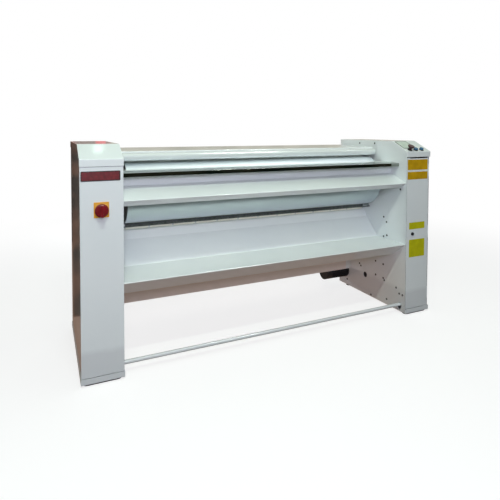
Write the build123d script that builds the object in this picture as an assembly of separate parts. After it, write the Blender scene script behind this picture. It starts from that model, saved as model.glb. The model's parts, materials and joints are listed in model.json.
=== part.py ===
from build123d import *
from math import asin, atan2, cos, degrees, hypot, pi, radians, sin, sqrt
import os

os.makedirs("parts", exist_ok=True)

# A flatwork ironer: two sheet-steel towers carry a heated roll, and belts press the linen
# to the rear of the roll. Millimetres. X runs along the roll, Z up, the front faces -Y.
# In the side view a point is (s, z): s is the depth behind the front of the towers.

# Overall
width = 2080
depth = 680
height = 1082
tower_width = 190
wall = width / 2 - tower_width
sheet = 2
frame_plate = 3
overhang = 2
air = 0.3
running_fit = 0.05

# Towers
foot_height = 10
tray_top = 37
seam = 985
brow = 1018
slope_run = 134
cap_flange = 33
panel_front = 3
panel_bottom = 38
panel_top = 984
door_top = 976
recess = 6
frame_top = 1074
rear_flange = 49

# Heated roll
roll_s, roll_z = 340, 818
roll_radius = 162.5
roll_wall = 10
roll_half = 800
journal_radius = 45
journal_bore = 30
journal_hole = 52

# Ironing belts and the four rollers inside their loop: s, z, radius
belt_thickness = 2.4
nip = belt_thickness + 2 * air
front_roller_radius = 22
exit_roller_radius = 20
rear_roller_radius = 25
nip_angle = 80.6
belt_count = 12
belt_pitch = 132
belt_width = 122
roller_half = 798
roller_shaft = 10
front_reach = roll_radius + front_roller_radius + nip
exit_reach = roll_radius + exit_roller_radius + nip
rollers = {
    "top_front": (roll_s + front_reach * cos(radians(nip_angle)),
                  roll_z + front_reach * sin(radians(nip_angle)), front_roller_radius),
    "bottom_front": (roll_s + exit_reach * cos(radians(nip_angle)),
                     roll_z - exit_reach * sin(radians(nip_angle)), exit_roller_radius),
    "bottom_rear": (590, 690, rear_roller_radius),
    "top_rear": (590, 985, rear_roller_radius),
}

# Finger guard and foot bar
guard_s, guard_z = 300, 1006.5
guard_radius = 21.5
guard_half = 835
guard_pivot_z = 1020
guard_pin = 6
bar_s, bar_z = 51, 53
bar_radius = 10
bar_pivot_s, bar_pivot_z = 251, 75
bar_pin = 8
bar_arm_x = 862
bar_slot_drop = (3, 19)
bar_slot_radius = 14
bar_spring_s = 151
bar_spring_top = 164

# Drive: chain from the reducer to the roll, V-belt from the motor to the reducer
chain_pitch = 19.05
roll_teeth = 40
reducer_teeth = 20
chain_x = 911
tooth_width = 11
output_s, output_z = 215, 245
input_s, input_z = 275, 190
motor_s, motor_z = 618, 118
motor_radius = 54
motor_length = 190
idler_s, idler_z = 386, 143
idler_radius = 32
idler_opening = 19
vbelt_x = 939
vbelt_width = 12
vbelt_height = 7.7
motor_groove = 28
reducer_groove = 64
rim_height = 10
input_shaft = 9
output_shaft = 14
motor_shaft = 12
motor_hole = 20
idler_shaft = 10

# Extraction fan in the left tower
fan_x = -915
fan_s, fan_z = 520, 840
fan_radius = 95
fan_width = 104
collar_radius = 50
collar_z = 880
collar_end = 718
impeller_radius = 80
blade_count = 12

# Front details: x, z, and for the door's plates their two x and two z
isolator_x, isolator_z = -947, 789
isolator_front = -38
knob_radius = 30
lock_x, lock_z = 898, 506
plate_places = [(855, 1019, 905, 969), (855, 1019, 846, 893), (872, 999, 535, 577), (873, 1000, 360, 470)]
door_outer = 1024
hinge_x = 1027.5
hinge_s = 3
hinge_radius = 2.8
hinge_heights = (120, 510, 900)
button_up = 22
button_places = {"start_button": 933, "stop_button": 980}
estop_x = 886
button_radius = 12
plunger_radius = 8.2
gland_x, gland_z = -1000, 120
gland_radius = 12
gland_bore = 7

half = depth / 2
slope_rise = height - brow
slope_angle = degrees(atan2(slope_rise, slope_run))


def side_face(points):
    return make_face(Polyline([(s - half, z) for s, z in points], close=True))


def across(face, x0, x1):
    """Pushes a side-view face along X."""
    return extrude(Plane.YZ.offset(x0) * face, x1 - x0)


def slab(points, x0, x1):
    return across(side_face(points), x0, x1)


def block(x0, x1, s0, s1, z0, z1):
    centre = Pos((x0 + x1) / 2, (s0 + s1) / 2 - half, (z0 + z1) / 2)
    return centre * Box(abs(x1 - x0), s1 - s0, z1 - z0)


def rod_x(s, z, radius, x0, x1):
    return Pos((x0 + x1) / 2, s - half, z) * Rot(0, 90, 0) * Cylinder(radius, abs(x1 - x0))


def rod_y(x, z, radius, s0, s1):
    return Pos(x, (s0 + s1) / 2 - half, z) * Rot(90, 0, 0) * Cylinder(radius, s1 - s0)


def tube_x(s, z, outer, inner, x0, x1):
    return rod_x(s, z, outer, x0, x1) - rod_x(s, z, inner, min(x0, x1) - 1, max(x0, x1) + 1)


def tower(side, x0, x1):
    """The X range of something inside the left (-1) or right (1) tower."""
    return (x0, x1) if side > 0 else (-x1, -x0)


def folded(points, thickness):
    """The outline of a folded sheet: its visible line and, to the left of it, its back."""
    back = []
    for i, (s, z) in enumerate(points):
        runs = []
        if i > 0:
            runs.append((s - points[i - 1][0], z - points[i - 1][1]))
        if i < len(points) - 1:
            runs.append((points[i + 1][0] - s, points[i + 1][1] - z))
        normals = [(-b / hypot(a, b), a / hypot(a, b)) for a, b in runs]
        n = normals[0]
        m = normals[-1]
        share = thickness / (1 + n[0] * m[0] + n[1] * m[1])
        back.append((s + share * (n[0] + m[0]), z + share * (n[1] + m[1])))
    return points + back[::-1]


def loop_wire(circles, grow):
    """A closed line round circles (s, z, radius, side): side 1 lies inside the loop, -1 outside."""
    stops = []
    for i, (s, z, radius, side) in enumerate(circles):
        s2, z2, radius2, side2 = circles[(i + 1) % len(circles)]
        r1 = side * radius + grow
        r2 = side2 * radius2 + grow
        span = hypot(s2 - s, z2 - z)
        sine = max(-1, min(1, (r2 - r1) / span))
        heading = atan2(z2 - z, s2 - s) - asin(sine)
        n = (-sin(heading), cos(heading))
        leave = (s - r1 * n[0], z - r1 * n[1])
        arrive = (s2 - r2 * n[0], z2 - r2 * n[1])
        touching = hypot(arrive[0] - leave[0], arrive[1] - leave[1]) < 0.05
        stops.append((leave, leave if touching else arrive))
    edges = []
    for i, (s, z, radius, side) in enumerate(circles):
        start = stops[i - 1][1]
        end = stops[i][0]
        a = atan2(start[1] - z, start[0] - s)
        b = atan2(end[1] - z, end[0] - s)
        turn = (b - a) * side % (2 * pi)
        middle = a + side * turn / 2
        r = abs(side * radius + grow)
        arc = (s + r * cos(middle) - half, z + r * sin(middle))
        edges.append(ThreePointArc((start[0] - half, start[1]), arc, (end[0] - half, end[1])))
        leave, arrive = stops[i]
        if leave != arrive:
            edges.append(Line((leave[0] - half, leave[1]), (arrive[0] - half, arrive[1])))
    return edges


def loop_band(circles, inner, thickness, x0, x1):
    outside = make_face(loop_wire(circles, inner + thickness))
    inside = make_face(loop_wire(circles, inner))
    return across(outside - inside, x0, x1)


def pitch_radius(teeth):
    return chain_pitch / (2 * sin(pi / teeth))


def save(name, part):
    part.label = name
    export_step(part, f"parts/{name}.step")


def group(pieces):
    return Compound(children=[solid for piece in pieces for solid in piece.solids()])


def foot_bar_slot(side):
    ds, dz = bar_slot_drop
    x0, x1 = tower(side, wall - 5, wall + 5)
    ends = [(bar_s, bar_z), (bar_s + ds, bar_z - dz)]
    slot = block(x0, x1, bar_s - bar_slot_radius, bar_s + bar_slot_radius, bar_z - dz, bar_z)
    for s, z in ends:
        slot += rod_x(s, z, bar_slot_radius, x0, x1)
    return slot


# ---- towers ----

def side_frame(side):
    outline = [(recess, foot_height + sheet), (recess, brow - 5), (slope_run + 2, frame_top),
               (depth - recess, frame_top), (depth - recess, foot_height + sheet)]
    frame = slab(outline, *tower(side, wall, wall + frame_plate))
    for s, reach in ((recess, 28), (depth - recess - frame_plate, 12)):
        x0, x1 = tower(side, wall, wall + reach)
        frame += block(x0, x1, s, s + frame_plate, panel_bottom + 2, panel_top - 4)
    # the flange that the lower rear panel is screwed to
    frame += block(*tower(side, wall - rear_flange, wall), 540, 542, 146, 545)
    through = tower(side, wall - 5, wall + 5)
    frame -= rod_x(roll_s, roll_z, journal_hole, *through)
    for s, z, radius in rollers.values():
        frame -= rod_x(s, z, roller_shaft + 4, *through)
    frame -= rod_x(guard_s, guard_pivot_z, guard_pin + running_fit, *through)
    frame -= rod_x(bar_pivot_s, bar_pivot_z, bar_pin + running_fit, *through)
    frame -= foot_bar_slot(side)
    if side > 0:
        frame -= rod_x(motor_s, motor_z, motor_hole, *through)
        frame -= rod_x(idler_s, idler_z, idler_opening, *through)
    else:
        frame -= rod_x(fan_s, fan_z, collar_radius, *through)
    return frame


def outer_skin(side):
    front = panel_front + sheet if side < 0 else recess + 4
    outline = [(front, foot_height + sheet), (front, brow - 5), (slope_run + 2, frame_top),
               (depth - recess, frame_top), (depth - recess, foot_height + sheet)]
    outside = width / 2 - overhang
    skin = slab(outline, *tower(side, outside - sheet, outside))
    skin += block(*tower(side, outside - 16, outside), depth - 10, depth - 8, panel_bottom + 2, 1040)
    if side > 0:
        # the set-back corner post with the fixed halves of the door hinges
        skin += block(hinge_x - 1, outside, front, front + sheet, panel_bottom, panel_top)
        for z in hinge_heights:
            for low in (z - 39, z + 21):
                skin += Pos(hinge_x, hinge_s - half, low + 9) * Cylinder(hinge_radius, 18)
                skin += block(hinge_x - 1, hinge_x + 1, hinge_s, front + 1, low, low + 18)
    return skin


def top_cap(side):
    flange_low = height - cap_flange
    outer = [(0, seam), (0, brow), (slope_run, height), (depth, height),
             (depth, flange_low), (slope_run, flange_low)]
    inner = [(sheet, seam - 40), (sheet, brow - 1.3), (slope_run + 0.5, height - sheet),
             (depth - sheet, height - sheet), (depth - sheet, flange_low - 120)]
    x0, x1 = tower(side, wall - overhang, width / 2)
    cap = slab(outer, x0, x1) - slab(inner, x0 + sheet, x1 - sheet)
    if side > 0:
        for x in [estop_x, *button_places.values()]:
            cap -= on_slope(x, button_up) * Cylinder(11.2, 20)
    return cap


def on_slope(x, up):
    """A place on the sloping control panel whose Z axis points out of it."""
    s = up * cos(radians(slope_angle))
    z = brow + up * sin(radians(slope_angle))
    return Pos(x, s - half, z) * Rot(slope_angle, 0, 0)


def base_tray(side):
    x0, x1 = tower(side, wall - overhang, width / 2)
    tray = block(x0, x1, 0, depth, foot_height, tray_top)
    tray -= block(x0 + sheet, x1 - sheet, sheet, depth - sheet, foot_height + sheet, tray_top + 1)
    return tray - foot_bar_slot(side)


def tower_rear_panel(side):
    x0, x1 = tower(side, wall + 1, width / 2 - 3)
    panel = block(x0, x1, depth - 5, depth - 3, panel_bottom, 1048)
    for i in range(8):
        z = 420 + 22 * i
        panel -= block(*tower(side, 890, 1000), depth - 8, depth, z, z + 7)
    if side < 0:
        panel -= rod_y(fan_x, collar_z, collar_radius - 2, depth - 10, depth + 5)
        panel -= rod_y(gland_x, gland_z, gland_radius, depth - 10, depth + 5)
    return panel


save("left_side_frame", side_frame(-1))
save("right_side_frame", side_frame(1))
save("outer_skins", group([outer_skin(-1), outer_skin(1)]))
save("left_top_cap", top_cap(-1))
save("right_top_cap", top_cap(1))
save("base_trays", group([base_tray(-1), base_tray(1)]))
save("tower_rear_panels", group([tower_rear_panel(-1), tower_rear_panel(1)]))

front_panel = block(overhang - width / 2, -wall - 0.5, panel_front, panel_front + sheet,
                    panel_bottom, panel_top)
for low in (panel_bottom, panel_top - sheet):
    front_panel += block(20 - width / 2, -wall - 30, panel_front, panel_front + 20, low, low + sheet)
isolator_hole = rod_y(isolator_x, isolator_z, 8, -5, 20)
save("left_front_panel", front_panel - isolator_hole)


def foot_pad(side):
    """A rubber bar with rounded ends under the front of a tower."""
    x = side * (wall + 95)
    pad = extrude(Plane.XY * SlotOverall(170, 36), foot_height)
    return Pos(x, 30 - half, 0) * pad


def levelling_feet(side):
    feet = []
    for inset in (26, 164):
        x = side * (wall + inset)
        foot = Pos(x, 598 - half, 2.5) * Cylinder(20, 5)
        foot += Pos(x, 598 - half, 7.5) * Cylinder(12, 5)
        feet.append(foot)
    return feet


save("foot_pads", group([foot_pad(-1), foot_pad(1)]))
save("levelling_feet", group(levelling_feet(-1) + levelling_feet(1)))

# ---- sheets and beams between the towers ----

cover_line = [(664, 1008), (664, 1043), (323, 1035), (323, 1026)]
apron_line = [(141, 944), (141, 877), (6, 822), (58, 790)]
tray_line = [(407, 612), (376, 556), (263, 443), (6, 442), (117, 357)]
rear_line = [(660, 600), (541, 545), (541, 146)]
feed_bar_outline = [(72, 924), (72, 944), (133, 949), (139, 949), (139, 924)]
feed_bar_hollow = [(74, 926), (74, 942.2), (133.1, 947), (137, 947), (137, 926)]

save("top_cover", slab(folded(cover_line, sheet), -wall, wall))
save("feed_apron", slab(folded(apron_line, sheet), -wall, wall))
save("linen_tray", slab(folded(tray_line, sheet), -wall, wall))
save("rear_lower_panel", slab(folded(rear_line, -sheet), rear_flange - wall, wall - rear_flange))
save("rear_upper_panel", block(-wall, wall, 660, 662, 600, 1038))
feed_bar = slab(feed_bar_outline, -wall, wall) - slab(feed_bar_hollow, -wall - 1, wall + 1)
save("feed_bar", feed_bar)
feed_table = block(-wall, wall, 139, 233, 945, 947)
feed_table += block(-wall, wall, 143, 145, 900, 946)
save("feed_table", feed_table)

strip = block(-790, 790, 344, 346, 628, 650)
strip += block(-wall, wall, 344, 346, 628, 634)
save("exit_strip", strip)


def beam(s, z):
    tube = block(-wall, wall, s, s + 40, z, z + 40)
    return tube - block(-wall - 1, wall + 1, s + 3, s + 37, z + 3, z + 37)


save("cross_beams", group([beam(132, 396), beam(614, 606)]))

# ---- heated roll ----

roll_inside = roll_radius - roll_wall
save("roll_shell", tube_x(roll_s, roll_z, roll_radius, roll_inside, -roll_half, roll_half))


def roll_journal(side):
    end = 925 if side > 0 else 897
    disc = rod_x(roll_s, roll_z, roll_inside, *tower(side, 778, 790))
    disc += rod_x(roll_s, roll_z, 70, *tower(side, 789, 800))
    disc += rod_x(roll_s, roll_z, journal_radius, *tower(side, 778, end))
    return disc - rod_x(roll_s, roll_z, journal_bore, *tower(side, 770, end + 5))


save("roll_journals", group([roll_journal(-1), roll_journal(1)]))


def roll_bearing(side):
    x0, x1 = tower(side, wall + 3, wall + 15)
    plate = block(x0, x1, roll_s - 75, roll_s + 75, roll_z - 75, roll_z + 75)
    plate = fillet(plate.edges().filter_by(Axis.X), 20)
    plate += rod_x(roll_s, roll_z, 68, *tower(side, wall + 3, wall + 39))
    plate -= rod_x(roll_s, roll_z, journal_radius + running_fit, *tower(side, wall, wall + 45))
    for ds in (-58, 58):
        for dz in (-58, 58):
            plate += rod_x(roll_s + ds, roll_z + dz, 9, *tower(side, wall + 14, wall + 23))
    return plate


def roller_bearing(side, s, z):
    boss = rod_x(s, z, 30, *tower(side, wall + 3, wall + 9))
    boss += rod_x(s, z, 20, *tower(side, wall + 3, wall + 22))
    return boss - rod_x(s, z, roller_shaft + running_fit, *tower(side, wall, wall + 25))


save("roll_bearings", group([roll_bearing(-1), roll_bearing(1)]))
save("roller_bearings", group([roller_bearing(side, s, z) for side in (-1, 1)
                               for s, z, radius in rollers.values()]))


def belt_roller(s, z, radius):
    pieces = [tube_x(s, z, radius, radius - 4, -roller_half, roller_half)]
    for side in (-1, 1):
        plug = rod_x(s, z, radius - 4, *tower(side, roller_half - 22, roller_half - 2))
        plug += rod_x(s, z, roller_shaft, *tower(side, roller_half - 10, wall + 24))
        pieces.append(plug)
    return group(pieces)


for place, (s, z, radius) in rollers.items():
    save(f"belt_roller_{place}", belt_roller(s, z, radius))

belt_path = [(*rollers["top_front"], 1), (roll_s, roll_z, roll_radius + nip, -1),
             (*rollers["bottom_front"], 1), (*rollers["bottom_rear"], 1), (*rollers["top_rear"], 1)]
one_belt = loop_band(belt_path, air, belt_thickness, -belt_width / 2, belt_width / 2)
first_belt = -belt_pitch * (belt_count - 1) / 2
belts = [Pos(first_belt + belt_pitch * i, 0, 0) * one_belt for i in range(belt_count)]
save("ironing_belts", group(belts))


def heater_bank():
    """Heating rods on spider plates, on a bar that stands still inside the roll."""
    bank = tube_x(roll_s, roll_z, 15, 12, -1000, 1000)
    for x in (-700, -350, 0, 350, 700):
        bank += tube_x(roll_s, roll_z, 118, 14, x - 2, x + 2)
    for i in range(12):
        angle = radians(30 * i)
        bank += rod_x(roll_s + 104 * cos(angle), roll_z + 104 * sin(angle), 5, -755, 755)
    return bank


def heater_post(side):
    floor = foot_height + sheet
    post = block(*tower(side, 975, 981), roll_s - 30, roll_s + 30, floor, roll_z + 35)
    post += block(*tower(side, 975, 1012), roll_s - 30, roll_s + 30, floor, floor + 6)
    return post - rod_x(roll_s, roll_z, 15, *tower(side, 970, 990))


save("heater_bank", group([heater_bank(), heater_post(-1), heater_post(1)]))

# ---- drive ----

def sprocket(s, z, teeth, bore, hub, hub_start):
    pitch = pitch_radius(teeth)
    x0 = chain_x - tooth_width / 2
    x1 = chain_x + tooth_width / 2
    wheel = rod_x(s, z, pitch + 3.5, x0, x1)
    for i in range(teeth):
        angle = 2 * pi * (i + 0.5) / teeth
        wheel -= rod_x(s + pitch * cos(angle), z + pitch * sin(angle), 6.3, x0 - 1, x1 + 1)
    wheel += rod_x(s, z, hub, hub_start, x1)
    if bore > 0:
        wheel -= rod_x(s, z, bore, hub_start - 1, x1 + 1)
    return wheel


def grooved_pulley(s, z, groove):
    half_rim = vbelt_width / 2 + 5
    pulley = rod_x(s, z, groove + rim_height, vbelt_x - half_rim, vbelt_x + half_rim)
    half_groove = vbelt_width / 2 + 0.5
    rim = groove + rim_height
    return pulley - tube_x(s, z, rim + 1, groove, vbelt_x - half_groove, vbelt_x + half_groove)


save("roll_sprocket", sprocket(roll_s, roll_z, roll_teeth, journal_radius, 62, 893))
reducer_sprocket = sprocket(output_s, output_z, reducer_teeth, 0, 30, 899)
reducer_sprocket += rod_x(output_s, output_z, output_shaft, 885, 922)
save("reducer_sprocket", reducer_sprocket)
reducer_pulley = grooved_pulley(input_s, input_z, reducer_groove)
for i in range(5):
    angle = radians(72 * i)
    reducer_pulley -= rod_x(input_s + 40 * cos(angle), input_z + 40 * sin(angle), 13, 925, 955)
reducer_pulley += rod_x(input_s, input_z, input_shaft, 885, 955)
save("reducer_pulley", reducer_pulley)
motor_pulley = grooved_pulley(motor_s, motor_z, motor_groove)
motor_pulley += rod_x(motor_s, motor_z, motor_shaft, 830, 955)
save("motor_pulley", motor_pulley)
idler = rod_x(idler_s, idler_z, idler_radius, vbelt_x - 8, vbelt_x + 8)
idler += rod_x(idler_s, idler_z, idler_shaft, wall - 1, vbelt_x + 10)
save("idler_pulley", idler)
idler_bracket = rod_x(idler_s, idler_z, 30, wall + 3, wall + 9)
idler_bracket += rod_x(idler_s, idler_z, 18, wall + 3, vbelt_x - 10)
idler_bracket -= rod_x(idler_s, idler_z, idler_shaft + running_fit, wall, vbelt_x)
save("idler_bracket", idler_bracket)

vbelt_path = [(input_s, input_z, reducer_groove, 1), (idler_s, idler_z, idler_radius, 1),
              (motor_s, motor_z, motor_groove, 1)]
save("drive_belt", loop_band(vbelt_path, air, vbelt_height,
                             vbelt_x - vbelt_width / 2, vbelt_x + vbelt_width / 2))


def drive_chain():
    """Two rows of side plates, with the rollers of the straight runs between them."""
    big = pitch_radius(roll_teeth)
    small = pitch_radius(reducer_teeth)
    path = [(roll_s, roll_z, big, 1), (output_s, output_z, small, 1)]
    plate_gap = tooth_width / 2 + 1
    chain = loop_band(path, -7, 14, chain_x - plate_gap - 2, chain_x - plate_gap)
    chain += loop_band(path, -7, 14, chain_x + plate_gap, chain_x + plate_gap + 2)
    span = hypot(roll_s - output_s, roll_z - output_z)
    run = sqrt(span ** 2 - (big - small) ** 2)
    lean = atan2(roll_z - output_z, roll_s - output_s)
    tilt = asin((big - small) / span)
    count = int(run / chain_pitch - 3.5)
    for turn in (-1, 1):
        heading = lean + turn * tilt
        normal = (-turn * sin(heading), turn * cos(heading))
        s0 = output_s + small * normal[0]
        z0 = output_z + small * normal[1]
        for i in range(count):
            along = 2 * chain_pitch + i * chain_pitch
            s = s0 + along * cos(heading)
            z = z0 + along * sin(heading)
            chain += rod_x(s, z, 5, chain_x - plate_gap - 1, chain_x + plate_gap + 1)
    return chain


save("drive_chain", drive_chain())

reducer = block(wall + 3, 896, 172, 306, 148, 296)
reducer = fillet(reducer.edges().filter_by(Axis.X), 22)
for s, z, shaft in ((output_s, output_z, output_shaft), (input_s, input_z, input_shaft)):
    reducer += rod_x(s, z, shaft + 12, 890, 898)
    reducer -= rod_x(s, z, shaft + running_fit, 884, 900)
save("gear_reducer", reducer)


def motor():
    """A finned motor on a round flange, with a fan cowl at its far end."""
    end = wall - motor_length
    body = rod_x(motor_s, motor_z, motor_radius - 8, end + 40, wall - 10)
    body += rod_x(motor_s, motor_z, motor_radius, wall - 12, wall)
    body += rod_x(motor_s, motor_z, motor_radius - 1, end, end + 48)
    fins = 28
    for i in range(fins):
        fin = block(end + 46, wall - 11, motor_s - 1.5, motor_s + 1.5,
                    motor_z + motor_radius - 10, motor_z + motor_radius - 1)
        axis = Axis((0, motor_s - half, motor_z), (1, 0, 0))
        body += fin.rotate(axis, 360 * i / fins)
    return body - rod_x(motor_s, motor_z, motor_shaft + running_fit, wall - 22, wall + 1)


save("motor", motor())

# ---- extraction fan ----

fan_near = fan_x + fan_width / 2
fan_far = fan_x - fan_width / 2


def fan_housing():
    """A drum with a round outlet that ends at the tower's rear panel, and its small motor."""
    housing = rod_x(fan_s, fan_z, fan_radius, fan_far, fan_near)
    housing += rod_y(fan_x, collar_z, collar_radius, fan_s, depth - 5)
    housing -= rod_x(fan_s, fan_z, fan_radius - 3, fan_far + 2, fan_near - 2)
    housing -= rod_y(fan_x, collar_z, collar_radius - 2, fan_s, depth)
    housing -= rod_x(fan_s, fan_z, collar_radius, fan_near - 5, fan_near + 1)
    housing += rod_x(fan_s, fan_z, 38, fan_far - 55, fan_far + 1)
    housing += tube_x(fan_s, fan_z, collar_radius + 3, collar_radius, fan_near - 1, -wall - 3)
    housing -= rod_x(fan_s, fan_z, 6 + running_fit, fan_far - 30, fan_far + 5)
    return housing


def fan_impeller():
    far = fan_far + 10
    near = fan_near - 12
    wheel = rod_x(fan_s, fan_z, impeller_radius, far, far + 3)
    wheel += tube_x(fan_s, fan_z, impeller_radius, impeller_radius - 18, near - 3, near)
    wheel += rod_x(fan_s, fan_z, 18, far, far + 30)
    wheel += rod_x(fan_s, fan_z, 6, fan_far - 28, far + 1)
    for i in range(blade_count):
        blade = block(far + 1, near - 1, fan_s - 1, fan_s + 1,
                      fan_z + impeller_radius - 21, fan_z + impeller_radius - 4)
        axis = Axis((0, fan_s - half, fan_z), (1, 0, 0))
        wheel += blade.rotate(axis, 360 * i / blade_count)
    return wheel


collar = rod_y(fan_x, collar_z, collar_radius, depth - 3, collar_end)
collar += rod_y(fan_x, collar_z, collar_radius + 10, depth - 3, depth - 1)
collar -= rod_y(fan_x, collar_z, collar_radius - 2, depth - 10, collar_end + 5)
save("exhaust_collar", collar)
save("fan_housing", fan_housing())
save("fan_impeller", fan_impeller())

# ---- finger guard and foot bar ----

guard = tube_x(guard_s, guard_z, guard_radius, guard_radius - 2, -guard_half, guard_half)
for side in (-1, 1):
    guard += rod_x(guard_s, guard_z, guard_radius, *tower(side, guard_half - 1, guard_half + 3))
    guard += rod_x(guard_s, guard_pivot_z, guard_pin, *tower(side, guard_half + 2, wall + 14))
    x0, x1 = tower(side, wall + 8, wall + 12)
    guard += block(x0, x1, guard_s - 6, guard_s + 6, guard_pivot_z - 34, guard_pivot_z)
save("finger_guard", guard)

foot_bar = tube_x(bar_s, bar_z, bar_radius, bar_radius - 2, -bar_arm_x - 2, bar_arm_x + 2)
arm_lean = degrees(atan2(bar_pivot_z - bar_z, bar_pivot_s - bar_s))
arm_length = hypot(bar_pivot_z - bar_z, bar_pivot_s - bar_s)
for side in (-1, 1):
    arm = Pos(side * (bar_arm_x + 2.5), (bar_s + bar_pivot_s) / 2 - half, (bar_z + bar_pivot_z) / 2)
    foot_bar += arm * Rot(arm_lean, 0, 0) * Box(5, arm_length, 20)
    foot_bar += rod_x(bar_s, bar_z, 14, *tower(side, bar_arm_x, bar_arm_x + 5))
    foot_bar += rod_x(bar_pivot_s, bar_pivot_z, 16, *tower(side, wall + 4, bar_arm_x + 5))
    foot_bar += rod_x(bar_pivot_s, bar_pivot_z, bar_pin, *tower(side, wall - 1, wall + 5))
save("foot_bar", foot_bar)


def foot_bar_spring(side):
    """An extension spring from a stud on the wall to the middle of the foot bar's arm."""
    x = side * (bar_arm_x + 2.5)
    low = (bar_z + bar_pivot_z) / 2 + 11.5
    return Pos(x, bar_spring_s - half, (low + bar_spring_top) / 2) * (
        Cylinder(7, bar_spring_top - low) - Cylinder(5, bar_spring_top - low + 1))


save("foot_bar_springs", group([foot_bar_spring(-1), foot_bar_spring(1)]))

# ---- controls ----

boxes = [block(wall + 3, 1000, 70, 270, 945, 1025), block(-1000, -wall - 3, 60, 220, 420, 640)]
save("control_boxes", group([fillet(box.edges().filter_by(Axis.Z), 5) for box in boxes]))

isolator_body = block(isolator_x - 28, isolator_x + 28, 5, 70, isolator_z - 34, isolator_z + 34)
isolator_body -= rod_y(isolator_x, isolator_z, 4 + running_fit, 0, 30)
save("isolator_body", isolator_body)
isolator_plate = block(isolator_x - 33, isolator_x + 33, 0, panel_front, isolator_z - 33, isolator_z + 37)
isolator_plate = fillet(isolator_plate.edges().filter_by(Axis.Y), 4)
save("isolator_plate", isolator_plate - rod_y(isolator_x, isolator_z, 8, -5, 10))
knob = rod_y(isolator_x, isolator_z, knob_radius, -14, -1)
knob += rod_y(isolator_x, isolator_z, knob_radius - 5, -20, -13)
knob += block(isolator_x - 6, isolator_x + 6, isolator_front, -13, isolator_z - 27, isolator_z + 27)
knob += rod_y(isolator_x, isolator_z, 4, -2, 28)
save("isolator_knob", knob)

nameplate = block(-1034, -864, 1.5, panel_front, 920, 965)
save("nameplate", fillet(nameplate.edges().filter_by(Axis.Y), 5))

window_middle = on_slope(wall + 56, 91)
window_plate = Pos(0, 0, 0.8) * Box(96, 94, 1.6)
window = window_middle * fillet(window_plate.edges().filter_by(Axis.Z), 4)
save("display_window", window)


def turned(radius, low, high):
    """A cylinder on the local Z axis."""
    return Pos(0, 0, (low + high) / 2) * Cylinder(radius, high - low)


def bezel(x):
    """A threaded bush in the panel, with a round well that the button sinks into."""
    bush = turned(14.5, 0, 5) + turned(11, -19, 1)
    bush -= turned(button_radius + 0.1, 0.7, 6)
    return on_slope(x, button_up) * (bush - turned(plunger_radius + 0.1, -25, 10))


save("button_bezels", group([bezel(x) for x in [estop_x, *button_places.values()]]))
for name, x in button_places.items():
    button = turned(button_radius, 5, 14) + turned(plunger_radius, -12, 6)
    save(name, on_slope(x, button_up) * button)
estop = turned(plunger_radius, -14, 10) + turned(7, 8, 17)
estop += Pos(0, 0, 20) * Cone(12, 20, 12) + turned(20, 25.5, 30.5)
save("emergency_stop", on_slope(estop_x, button_up) * estop)

gland = rod_y(gland_x, gland_z, gland_radius + 4, depth - 3, depth + 6)
gland += rod_y(gland_x, gland_z, gland_radius, depth - 14, depth + 24)
save("mains_gland", gland - rod_y(gland_x, gland_z, gland_bore, depth - 20, depth + 30))

# ---- service door on the right tower ----

door = block(wall + 1, door_outer, panel_front, panel_front + sheet, panel_bottom, door_top)
for low in (panel_bottom, door_top - sheet):
    door += block(wall + 35, door_outer - 20, panel_front, panel_front + 16, low, low + sheet)
for z in hinge_heights:
    door += Pos(hinge_x, hinge_s - half, z) * Cylinder(hinge_radius, 40)
    door += block(door_outer - 1, hinge_x, panel_front, panel_front + sheet, z - 20, z + 20)
door -= rod_y(lock_x, lock_z, 5 + running_fit, -5, 20)
save("service_door", door)

plates = [block(x0, x1, panel_front - 0.8, panel_front, z0, z1) for x0, x1, z0, z1 in plate_places]
save("door_plates", group(plates))
lock = rod_y(lock_x, lock_z, 10, -4, panel_front - 0.3) + rod_y(lock_x, lock_z, 5, -1, 15)
lock += block(lock_x - 6, lock_x + 6, 11, 14, lock_z - 6, lock_z + 34)
save("door_lock", lock)

# ---- screw heads on the inner walls ----

screw_places = [(58, 780), (205, 581), (178, 551), (174, 465), (205, 452), (279, 268), (205, 265),
                (277, 175), (203, 174), (193, 162), (84, 148), (56, 119), (28, 118), (168, 45),
                (562, 128), (587, 50), (446, 206), (432, 193)]
lip_screws = [(456, 1060), (300, 1062), (320, 24)]
head_radius = 6.5
head_height = 3


def screw_heads(side):
    heads = []
    for s, z in screw_places:
        if side < 0 or hypot(s - motor_s, z - motor_z) > motor_radius + head_radius + 1:
            heads.append(rod_x(s, z, head_radius, *tower(side, wall - head_height, wall)))
    for s, z in lip_screws:
        at_cap = tower(side, wall - overhang - head_height, wall - overhang)
        heads.append(rod_x(s, z, head_radius, *at_cap))
    return heads


save("wall_screws", group(screw_heads(-1) + screw_heads(1)))
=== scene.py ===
import json
import math

import bmesh
import bpy
from mathutils import Matrix, Vector


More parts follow.
